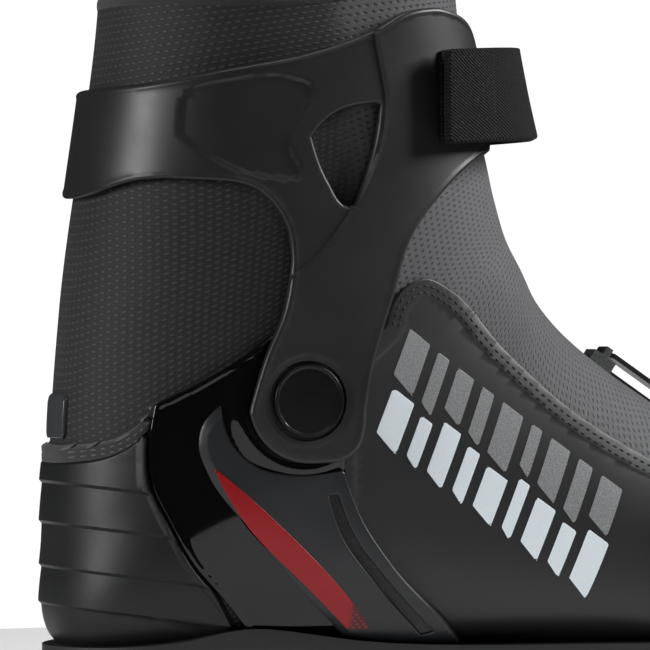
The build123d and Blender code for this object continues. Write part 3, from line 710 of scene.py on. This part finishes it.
OVER_SOLE = outside(inside(line(SOLE_LINE, [(240, -40)], [(-90, -40)], [SOLE_LINE[0]])))
CHASSIS = inside(line(BAND_REAR, [(-13, 10)], [(70, 10)], [CHASSIS_FRONT[-1]],
                      list(reversed(CHASSIS_FRONT[:-1])), CHASSIS_TOP, CHASSIS_SHOULDER))
BESIDE_CHASSIS = outside(CHASSIS)
PLATE = inside(line(RIDGE, [(60, 12)], [CHASSIS_FRONT[-1]], list(reversed(CHASSIS_FRONT[1:-1])),
                    [POCKET[0]], POCKET[1:]))
SLOT = inside(line([SLOT_REAR[-1], SLOT_FRONT[0]], SLOT_FRONT[1:], [SLOT_REAR[0]], SLOT_REAR[1:]))
CUFF_FRONT = [(22, 112), (29, 133), (35, 151), (47, 166), (62, 177), (69, 180)]
CUFF_TOP = [(34, 224), (22, 217.5), (4, 211), (-24, 205), (-45, 201), (-80, 199)]
CUFF_LOW = [(-66, 163), (-52, 169.5), (-36, 170), (-15, 166), (-7, 156), (-5, 144)]
ARM_END = arm_circle(19.6, 190, 262) + [
    (19.6 * x / KX, (PIVOT_Z / MM - 19.6 * z) / KZ)
    for x, z in ((0.25, 1.0), (0.62, 0.96), (0.86, 0.78), (0.96, 0.5), (0.985, 0.17))]
CUFF_LINE = line(ARM_END, CUFF_FRONT, [(71.5, 190), (69, 208), (62, 221), (46, 226)],
                 CUFF_TOP, [(-80, 159)], CUFF_LOW, [(-8, 128), (-14, 114)] + ARM_END[:1])
WINDOW = inside(line([(1.5, 184), (8, 190.5), (25.5, 195)], [(24, 184), (16, 162)],
                     [(13.5, 162), (7, 170), (1.5, 184)]))
ARM_REAR = [(-80, 230), (23, 230), (23, 217), (25, 207), (27, 195), (26, 185), (22, 174), (15, 161),
            (7, 150), (1, 144), (-6, 139), (-20, 134)]
RECESS = [(-39, 189), (-37, 197), (-22, 202), (-8, 203), (2, 199), (-2, 190), (-6, 182), (-2, 172),
          (-19, 172), (-30, 177), (-39, 184)]
CUFF_HALF = ARM_INNER / MM - 1.5


# ---------------------------------------------------------------- settings
class BootSettings(bpy.types.PropertyGroup):
    """Sizes and colours of the boot's finish."""

    stitch_length: bpy.props.FloatProperty(
        name="Stitch length", description="Length of one thread stitch", default=1.5 * MM, unit="LENGTH")
    stitch_pitch: bpy.props.FloatProperty(
        name="Stitch pitch", description="From one stitch to the next", default=2.4 * MM, unit="LENGTH")
    thread_radius: bpy.props.FloatProperty(
        name="Thread radius", description="Radius of the sewing thread", default=0.28 * MM, unit="LENGTH")
    bar_width: bpy.props.FloatProperty(
        name="Bar width", description="Width of each printed bar on the quarters", default=7.0 * MM,
        unit="LENGTH")
    bar_gap: bpy.props.FloatProperty(
        name="Bar gap", description="Gap between the printed bars", default=3.6 * MM, unit="LENGTH")
    stripe_colour: bpy.props.FloatVectorProperty(
        name="Stripe", description="Colour of the side stripe", default=(0.33, 0.006, 0.010),
        subtype="COLOR")
    cuff_colour: bpy.props.FloatVectorProperty(
        name="Cuff", description="Colour of the cuff's soft plastic", default=(0.0135, 0.014, 0.0148),
        subtype="COLOR")
    quarter_colour: bpy.props.FloatVectorProperty(
        name="Quarters", description="Colour of the quarters", default=(0.012, 0.0122, 0.014),
        subtype="COLOR")
    print_colour: bpy.props.FloatVectorProperty(
        name="Print", description="Colour of the upper printed bars", default=(0.36, 0.368, 0.375),
        subtype="COLOR")
    floor_colour: bpy.props.FloatVectorProperty(
        name="Floor", description="Colour of the studio floor", default=(0.85, 0.85, 0.85),
        subtype="COLOR")
    lens: bpy.props.FloatProperty(
        name="Lens", description="Focal length of the camera in millimetres", default=264.0)


def settings():
    return bpy.context.scene.boot_settings


finishes = {}


def finish_of(name):
    """A finish by name, made once."""
    if not finishes:
        s = settings()
        finishes.update({
            "cloth": shaft_cloth("shaft_cloth"),
            "lining": knit("lining_knit", (.012, .012, .013)),
            "tape": knit("binding_tape", (.010, .010, .011), 0.8),
            "counter": moulded("counter_plastic", (.0085, .009, .0096), .48, .5, .2, Specular_IOR_Level=.35),
            "band": moulded("gloss_black", (.0015, .0015, .0018), .06, 1.5, .01, .1, Coat_Weight=.25,
                            Coat_Roughness=.02, Specular_IOR_Level=.35),
            "plate": moulded("satin_plate", (.017, .018, .020), .34, .5, .08, Specular_IOR_Level=.4),
            "stripe": stripe_film("red_film", tuple(s.stripe_colour)),
            "cuff": moulded("soft_cuff", tuple(s.cuff_colour), .42, .35, .16, .12, Specular_IOR_Level=.45),
            "cap": moulded("cap_plastic", (.006, .006, .0065), .30, .6, .05, Specular_IOR_Level=.25),
            "quarter": moulded("quarter_skin", tuple(s.quarter_colour), .45, .45, .25, .12),
            "toe": moulded("toe_rubber", (.012, .012, .013), .55, .7, .4),
            "rubber": moulded("sole_rubber", (.012, .012, .0125), .58, .8, .5),
            "silver": printed("silver_print", tuple(s.print_colour), .45),
            "pale": printed("pale_print", (.84, .92, .97), .06),
            "lens": moulded("tab_lens", (.045, .047, .05), .18, .8, .05),
            "rim": moulded("edge_rim", (.12, .125, .13), .4, .5, .1),
            "web": ribbed("strap_webbing", (.004, .004, .0045), 1.1, .0),
            "fuzz": ribbed("hook_and_loop", (.004, .004, .0045), 1.0, .22),
            "thread": knit("grey_thread", (.070, .072, .076), 0.5, .2),
            "dark_thread": knit("black_thread", (.016, .016, .018), 0.5, .2),
            "steel": brushed("steel", (.55, .56, .57), .28),
            "dark_metal": brushed("blackened_zip", (.10, .10, .105), .34),
            "board": knit("board_fibre", (.20, .17, .13), 2.0, .0),
            "footbed": knit("footbed_foam", (.035, .036, .04), 1.4),
        })
    return finishes[name]


# ---------------------------------------------------------------- operators
class BOOT_OT_cloth(bpy.types.Operator):
    """Makes the outer cloth, the lining and the collar's rim."""

    bl_idname = "boot.cloth"
    bl_label = "Cloth"

    def execute(self, context):
        under_rim = outside(inside(line(COLLAR_TOP, [(90, 400)], [(-90, 400)], [COLLAR_TOP[0]])))

        def below_rim(p):
            return under_rim(p) - 2 * MM

        outer = panel("outer_cloth", below_rim, -1.6, 0.0, 0.3, base=grid(210, 140))
        finished(outer, finish_of("cloth"), None,
                 ("upper_fabric", "flex_gusset", "collar_fabric"))
        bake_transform(outer)
        lining = panel("foot_and_collar_lining", below_rim, -6.8, -1.8, 0.3,
                       base=grid(170, 110, first=1.0))
        finished(lining, finish_of("lining"), None, ("foot_lining", "collar_lining"))
        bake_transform(lining)
        ring = inside(line(COLLAR_TOP, [(90, 236.5)], [(70, 236.5), (45, 231.5), (0, 224.5), (-55, 225.5),
                                                       (-90, 225.5)], [COLLAR_TOP[0]]))
        rim = panel("collar_rim", ring, -6.9, 0.4, 2.6)
        finished(rim, finish_of("tape"), "cuff", ("collar_binding",))
        return {"FINISHED"}


class BOOT_OT_tongue(bpy.types.Operator):
    """Makes the padded tongue in its lower and upper parts."""

    bl_idname = "boot.tongue"
    bl_label = "Tongue"

    def execute(self, context):
        def off_rib(p):
            return np.abs(np.mod(p[:, 1] + 4 * MM, 8 * MM) - 4 * MM)

        ribs = (off_rib, (0, .8, 2.0, 4), (-.7, -.2, 0, .2))
        for part, body, lines in (
                ("upper", "cuff", ([(40, 160), (95, 160)], [(95, 225)], [(36, 225)], [(40, 160)])),
                ("lower", "boot", ([(78, 92), (150, 60)], [(150, 108)], [(98, 118)], [(78, 92)]))):
            zone = inside(line(*lines))
            pad = panel(f"tongue_{part}_pad", both(zone, within(23 * MM)), -10.0, -7.1, 1.2, (ribs,),
                        base=grid(200, 130, first=1.0))
            finished(pad, finish_of("lining"), body, (f"tongue_{part}",))
        return {"FINISHED"}


class BOOT_OT_heel(bpy.types.Operator):
    """Makes the slatted heel counter, its sewn binding and the tab on its back."""

    bl_idname = "boot.heel"
    bl_label = "Heel"

    def execute(self, context):
        zone = inside(line(COUNTER_TOP, [(-40, 60)], [(-10, 15)], [(-90, 15)], [COUNTER_TOP[0]]))
        near_chassis = grown(BESIDE_CHASSIS, -0.3 * MM)

        def fall(p):
            return p[:, 2] / KZ + 0.14 * (p[:, 0] / KX + 68 * MM)

        levels, heights = [20.0], [0.5]
        for top in (37.0, 49.0, 63.0, 76.0):
            levels += [top - 2.0, top - 0.3]
            heights += [0.0, 1.1]
        levels += [84.0]
        heights += [0.4]
        lip = (BESIDE_CHASSIS, (0.3, 0.8, 2.0, 2.6), (0.7, 0.7, 0.5, 0.0))
        counter = panel("counter", both(zone, near_chassis, OVER_SOLE), 0.2, 2.5, 0.5,
                        ((fall, levels, heights), lip))
        finished(counter, finish_of("counter"), "boot", ("heel_counter",))
        strip_line = line(BINDING_TOP, [COUNTER_TOP[-1]], list(reversed(COUNTER_TOP))[1:], [BINDING_TOP[0]])
        strip = inside(strip_line)
        binding = panel("counter_tape", both(strip, near_chassis), 0.2, 2.9, 0.8)
        finished(binding, finish_of("tape"), "boot", ("counter_binding",))
        top = line(BINDING_TOP)
        edge = panel("counter_rim", both(inside(np.vstack([beside(top, 0.5), beside(top, -0.5)[::-1]])),
                                         near_chassis), 1.0, 3.2, 0.45)
        finished(edge, finish_of("rim"), "boot")
        s = settings()
        for side_name, side in SIDES:
            for row, distance in enumerate((-1.5, -3.1)):
                seam = stitches(f"counter_stitches_{side_name}_{row + 1}", binding, beside(top, distance),
                                side, s.stitch_pitch, s.stitch_length, s.thread_radius)
                finished(seam, finish_of("thread"), "boot")
        tab_zone = inside(line([(-90, 86), (-57, 89)], [(-57, 102)], [(-90, 102)], [(-90, 86)]))
        tab = panel("heel_tab_lens", both(tab_zone, within(9 * MM)), 0.2, 2.0, 1.2)
        finished(tab, finish_of("lens"), "boot", ("heel_tab",))
        return {"FINISHED"}


class BOOT_OT_quarters(bpy.types.Operator):
    """Makes the quarters with their sewn border, and the toe cap."""

    bl_idname = "boot.quarters"
    bl_label = "Quarters"

    def execute(self, context):
        s = settings()
        rear = [(x - 4, z) for x, z in reversed(CHASSIS_FRONT[:-1])]
        zone = inside(line(QUARTER_TOP, [(176, 12)], [(46, 12)], [rear[0]], rear[1:], [(12, 110)],
                           [QUARTER_TOP[0]]))
        over_top = inside(line(QUARTER_TOP, [(176, -40)], [(14, -40)], [(12, 110)], [QUARTER_TOP[0]]))
        border = (over_top, (0.0, 5.6, 6.3, 30.0), (0.25, 0.25, 0.0, 0.0))
        top = line(QUARTER_TOP)
        for name, side in SIDES:
            quarter = panel(f"quarter_{name}_skin", both(zone, on_side(side), OVER_SOLE), 0.2, 1.4, 0.45,
                            (border,))
            finished(quarter, finish_of("quarter"), "boot", (f"quarter_{name}",))
            for row, distance in enumerate((-2.0, -4.2)):
                seam = stitches(f"quarter_stitches_{name}_{row + 1}", quarter, beside(top, distance), side,
                                s.stitch_pitch * 1.1, s.stitch_length * 1.1, s.thread_radius * 0.9)
                finished(seam, finish_of("dark_thread"), "boot")
        toe = inside(line([(178, 92), (172.6, 60)], [(176.6, 10)], [(245, 10)], [(245, 92)], [(178, 92)]))
        cap = panel("toe_rand", both(toe, OVER_SOLE), 0.2, 2.2, 0.9)
        finished(cap, finish_of("toe"), "boot", ("toe_cap",))
        return {"FINISHED"}


class BOOT_OT_print(bpy.types.Operator):
    """Prints slanted bars on the quarters, cut across the middle."""

    bl_idname = "boot.print"
    bl_label = "Print"

    def execute(self, context):
        s = settings()
        corner = np.array([37.7, 123.9])
        along = np.array([0.808, -0.589])
        down = np.array([-0.381, -0.925])
        tall = 36.6
        widths = (1.3, 0.7, 1.0, 0.7, 1.2, 0.6, 1.1, 0.8, 1.2)
        for name, side in SIDES:
            quarter = bpy.data.objects[f"quarter_{name}_skin"]
            at = 0.0
            uppers, lowers = [], []
            for k, width in enumerate(widths):
                wide = s.bar_width / MM * width
                split_at = 0.50 + 0.05 * math.sin(2.1 * k)
                shift = 1.6
                for rows, start, end, slip in ((uppers, 0.02, split_at - 0.02, 0.0),
                                               (lowers, split_at + 0.05, 1.0, shift)):
                    a = corner + along * (at + slip) + down * tall * start
                    b = corner + along * (at + wide + slip) + down * tall * start
                    c = corner + along * (at + wide + slip) + down * tall * (end + 0.03)
                    d = corner + along * (at + slip) + down * tall * (end - 0.03)
                    rows.append(inside(line([a, b], [c], [d], [a])))
                at += wide + s.bar_gap / MM
            for part, fields, look in (("upper", uppers, "silver"), ("lower", lowers, "pale")):
                bars = panel(f"print_{name}_{part}", both(either(fields), on_side(side)), 1.41, 1.50, 0.04,
                             base=grid(560, 330))
                finished(bars, finish_of(look), "boot")
        return {"FINISHED"}


class BOOT_OT_chassis(bpy.types.Operator):
    """Makes the gloss bands, the satin plates with their slots, and the stripes."""

    bl_idname = "boot.chassis"
    bl_label = "Chassis"

    def execute(self, context):
        s = settings()
        fine = grid(560, 330)
        flat = (44.2 * MM, 46.8 * MM, 21.8 * MM, 26.0 * MM)
        lip = (CHASSIS, (0.0, 1.2, 1.9, 60), (0.35, 0.35, 0.0, 0.0))
        stripe_zone = inside(line([(-30, 80), (-17, 69), (9, 45), (26, 27)], [(18, 27)],
                                  [(1, 42), (-21, 64), (-26, 72), (-30, 80)]))
        for name, side in SIDES:
            band = panel(f"chassis_{name}_band", both(CHASSIS, on_side(side), OVER_SOLE), 1.5, 3.0, 0.5,
                         (lip,), flat, fine)
            finished(band, finish_of("band"), "boot", (f"chassis_{name}",))
            rise = (inside(line(RIDGE, [(60, 12)], [(90, 20)], [(90, 110)], [(-27, 110)], [RIDGE[0]])),
                    (0.0, 0.3, 3.0, 3.6, 90), (-1.2, -1.2, 0.0, 0.0, 0.0))
            plate = panel(f"chassis_{name}_plate", both(PLATE, outside(SLOT), on_side(side), OVER_SOLE),
                          2.9, 4.6, 0.5, (rise,), base=fine)
            finished(plate, finish_of("plate"), "boot")
            under_slot = both(grown(SLOT, 0.6 * MM), on_side(side), OVER_SOLE)
            tape = panel(f"chassis_{name}_slot_tape", under_slot, 3.02, 3.62, 0.1, base=fine)
            finished(tape, finish_of("tape"), "boot")
            middle = (np.array(SLOT_FRONT) + np.array(SLOT_REAR)[::-1]) / 2
            for row, distance in enumerate((0.8, -0.8)):
                path = beside(line([tuple(p) for p in middle]), distance)
                seam = stitches(f"slot_stitches_{name}_{row + 1}", tape, path, side, s.stitch_pitch,
                                s.stitch_length, s.thread_radius * 0.5)
                finished(seam, finish_of("dark_thread"), "boot")
            stripe = panel(f"stripe_{name}_film", both(stripe_zone, on_side(side)), 4.55, 4.85, 0.1,
                           base=fine)
            finished(stripe, finish_of("stripe"), "boot", (f"stripe_{name}",))
        return {"FINISHED"}


class BOOT_OT_cuff(bpy.types.Operator):
    """Makes the cuff with its raised front arms, window and recessed side panels."""

    bl_idname = "boot.cuff"
    bl_label = "Cuff"

    def execute(self, context):
        flat = (ARM_INNER, ARM_OUTER, 20.5 * MM, 40 * MM)
        rear = inside(line(ARM_REAR, [(-80, 134)], [(-80, 230)]))
        step = (rear, (-0.5, 0.5, 60), (0.0, -1.1, -1.1))
        recess = (inside(line(RECESS, [RECESS[0]])), (-0.5, 0.7, 60), (0.0, -0.7, -0.7))
        rim = CAP_RADIUS / MM
        ring = (off_pivot, (rim, rim + .15, rim + 1.6, rim + 2.4, 300), (-1.9, -0.35, -0.2, 0.0, 0.0))
        outline = inside(CUFF_LINE)
        lip = (outline, (0.0, 1.4, 2.4, 200), (0.0, 0.0, -0.25, -0.25))
        cuff = panel("cuff_moulding", both(outline, outside(WINDOW)), 1.5, 5.0, 1.3,
                     (step, recess, ring, lip), flat, grid(260, 170, CUFF_HALF))
        finished(cuff, finish_of("cuff"), "cuff", ("cuff_shell",))
        return {"FINISHED"}


class BOOT_OT_caps(bpy.types.Operator):
    """Makes the round caps over the ankle pivots."""

    bl_idname = "boot.caps"
    bl_label = "Caps"

    def execute(self, context):
        for name, side in SIDES:
            alone()
            inner, outer = ARM_OUTER - 1.9 * MM, ARM_OUTER + 0.5 * MM
            bpy.ops.mesh.primitive_cylinder_add(
                vertices=96, radius=CAP_RADIUS - 1.15 * MM, depth=outer - inner,
                location=(0, side * (inner + outer) / 2, PIVOT_Z), rotation=(math.pi / 2, 0, 0))
            cap = bpy.context.object
            bpy.ops.object.mode_set(mode="EDIT")
            select_faces(lambda c, n: n.y * side > 0.9)
            for thickness, depth in ((0.7 * MM, 0.0), (0.5 * MM, -0.35 * MM), (7.0 * MM, 0.25 * MM)):
                bpy.ops.mesh.inset(thickness=thickness, depth=depth)
            bpy.ops.object.mode_set(mode="OBJECT")
            bevel = cap.modifiers.new("rounding", "BEVEL")
            bevel.width = 0.35 * MM
            bevel.segments = 3
            bevel.limit_method = "ANGLE"
            bevel.angle_limit = math.radians(20)
            settle(cap, f"pivot_button_{name}", 30)
            finished(cap, finish_of("cap"), "cuff", (f"pivot_cap_{name}",))
        return {"FINISHED"}


class BOOT_OT_strap(bpy.types.Operator):
    """Makes the cuff's hook and loop strap, its patches and its anchor."""

    bl_idname = "boot.strap"
    bl_label = "Strap"

    def execute(self, context):
        bulged = grid(260, 200, CUFF_HALF, 9.5)
        on_cuff = grid(260, 170, CUFF_HALF)
        band = inside(line([(-90, 173), (110, 186.5)], [(110, 216.5)], [(-90, 203)], [(-90, 173)]))
        end_x, anchor_x = 47 * MM * KX, 56 * MM * KX

        def outer_end(p):
            return np.where(p[:, 1] < 0, p[:, 0] - end_x, p[:, 0] - anchor_x)

        def ends(p):
            return np.where(p[:, 1] < 0, 66 * MM * KX - p[:, 0], -1.0)

        def anchor_zone(p):
            return np.minimum(p[:, 0] - (anchor_x - 12 * MM), anchor_x + 6 * MM - p[:, 0])

        web = panel("strap_webbing", both(band, outer_end), 7.4, 9.8, 0.7, base=bulged)
        finished(web, finish_of("web"), "strap", ("strap_web",))
        hook = panel("strap_hook", both(band, outer_end, ends), 6.2, 7.39, 0.3, base=bulged)
        finished(hook, finish_of("fuzz"), "strap", ("hook_patch",))
        top = panel("strap_end_tape", both(grown(band, -0.3 * MM), outer_end, ends), 9.7, 10.3, 0.5,
                    base=bulged)
        finished(top, finish_of("fuzz"), "strap")
        loop = panel("cuff_loop_patch", both(band, outer_end, ends), 5.1, 6.15, 0.3, base=on_cuff)
        finished(loop, finish_of("fuzz"), "cuff", ("loop_patch",))
        anchor = panel("strap_anchor_plate", both(band, anchor_zone, on_side(1)), 5.1, 7.0, 0.8, base=on_cuff)
        finished(anchor, finish_of("cap"), "cuff", ("strap_anchor",))
        return {"FINISHED"}


class BOOT_OT_hard_parts(bpy.types.Operator):
    """Gives the frame's own pieces their finishes."""

    bl_idname = "boot.hard_parts"
    bl_label = "Hard parts"

    def execute(self, context):
        looks = {"outsole": "rubber", "heel_tread": "rubber", "forefoot_tread": "rubber", "toe_bar": "steel",
                 "shank_plate": "dark_metal", "lasting_board": "board", "footbed": "footbed",
                 "anchor_rivets": "steel", "zip_tape": "tape", "zip_rail": "dark_metal", "zip_stops": "steel",
                 "zip_slider": "steel", "zip_pull": "dark_metal"}
        for name, _ in SIDES:
            looks[f"pivot_pin_{name}"] = "steel"
            looks[f"pivot_washer_{name}"] = "steel"
            looks[f"pivot_bush_{name}"] = "dark_metal"
        for node, look in looks.items():
            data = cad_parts[node].data
            data.materials.clear()
            data.materials.append(finish_of(look))
        return {"FINISHED"}


class BOOT_OT_stage(bpy.types.Operator):
    """Sets the floor, the soft lights and the camera."""

    bl_idname = "boot.stage"
    bl_label = "Stage"

    def execute(self, context):
        scene = context.scene
        scene.view_settings.view_transform = "Standard"
        alone()
        bpy.ops.mesh.primitive_circle_add(vertices=96, radius=FLOOR_RADIUS, fill_type="NGON",
                                          location=(0.08, 0, CAD_BOX[0].z - 0.4 * MM))
        floor = settle(bpy.context.object, "studio_floor")
        g = Graph("floor_paper")
        where, _ = g.places()
        fleck = g.noise(where, 30 * MM, 2.0)
        pale = tuple(settings().floor_colour)
        darker = tuple(c * .98 for c in pale)
        floor.data.materials.append(g.set(Base_Color=g.mix(fleck, tone(*pale), tone(*darker)),
                                          Roughness=0.7 + fleck * 0.1))
        world = bpy.data.worlds.new("studio")
        world.use_nodes = True
        seen = world.node_tree.nodes.new("ShaderNodeLightPath").outputs["Is Camera Ray"]
        strength = world.node_tree.nodes.new("ShaderNodeMapRange")
        strength.inputs["To Min"].default_value = 0.035
        strength.inputs["To Max"].default_value = 1.05
        world.node_tree.links.new(seen, strength.inputs["Value"])
        sky = world.node_tree.nodes["Background"]
        sky.inputs["Color"].default_value = (1, 1, 1, 1)
        world.node_tree.links.new(strength.outputs[0], sky.inputs["Strength"])
        scene.world = world
        for name, place, size, power in LAMPS:
            data = bpy.data.lights.new(name, "AREA")
            data.shape = "DISK"
            data.size = size
            data.energy = power
            lamp = bpy.data.objects.new(name, data)
            lamp.location = place
            lamp.rotation_mode = "QUATERNION"
            lamp.rotation_quaternion = (AIM - lamp.location).to_track_quat("-Z", "Y")
            scene.collection.objects.link(lamp)
        turn = math.radians(CAMERA_TURN)
        back = Vector((math.sin(turn), -math.cos(turn), 0))
        data = bpy.data.cameras.new("camera")
        data.lens = settings().lens
        camera = bpy.data.objects.new("camera", data)
        camera.location = AIM + back * CAMERA_DISTANCE
        camera.rotation_mode = "QUATERNION"
        camera.rotation_quaternion = (-back).to_track_quat("-Z", "Y")
        scene.collection.objects.link(camera)
        scene.camera = camera
        return {"FINISHED"}


class BOOT_PT_panel(bpy.types.Panel):
    """Lists the boot's settings and steps."""

    bl_idname = "BOOT_PT_panel"
    bl_label = "Skate Boot"
    bl_space_type = "VIEW_3D"
    bl_region_type = "UI"
    bl_category = "Boot"

    def draw(self, context):
        for name in BootSettings.__annotations__:
            self.layout.prop(context.scene.boot_settings, name)
        for step in STEPS:
            self.layout.operator(step.bl_idname)


STEPS = (BOOT_OT_cloth, BOOT_OT_tongue, BOOT_OT_heel, BOOT_OT_quarters, BOOT_OT_print, BOOT_OT_chassis,
         BOOT_OT_cuff, BOOT_OT_caps, BOOT_OT_strap, BOOT_OT_hard_parts, BOOT_OT_stage)
CLASSES = (BootSettings, *STEPS, BOOT_PT_panel)


def register():
    for kind in CLASSES:
        bpy.utils.register_class(kind)
    bpy.types.Scene.boot_settings = bpy.props.PointerProperty(type=BootSettings)


def unregister():
    del bpy.types.Scene.boot_settings
    for kind in reversed(CLASSES):
        bpy.utils.unregister_class(kind)


def main():
    register()
    bpy.ops.boot.cloth()
    bpy.ops.boot.tongue()
    bpy.ops.boot.heel()
    bpy.ops.boot.quarters()
    bpy.ops.boot.print()
    bpy.ops.boot.chassis()
    bpy.ops.boot.cuff()
    bpy.ops.boot.caps()
    bpy.ops.boot.strap()
    bpy.ops.boot.hard_parts()
    bpy.ops.boot.stage()


if __name__ == "__main__":
    main()
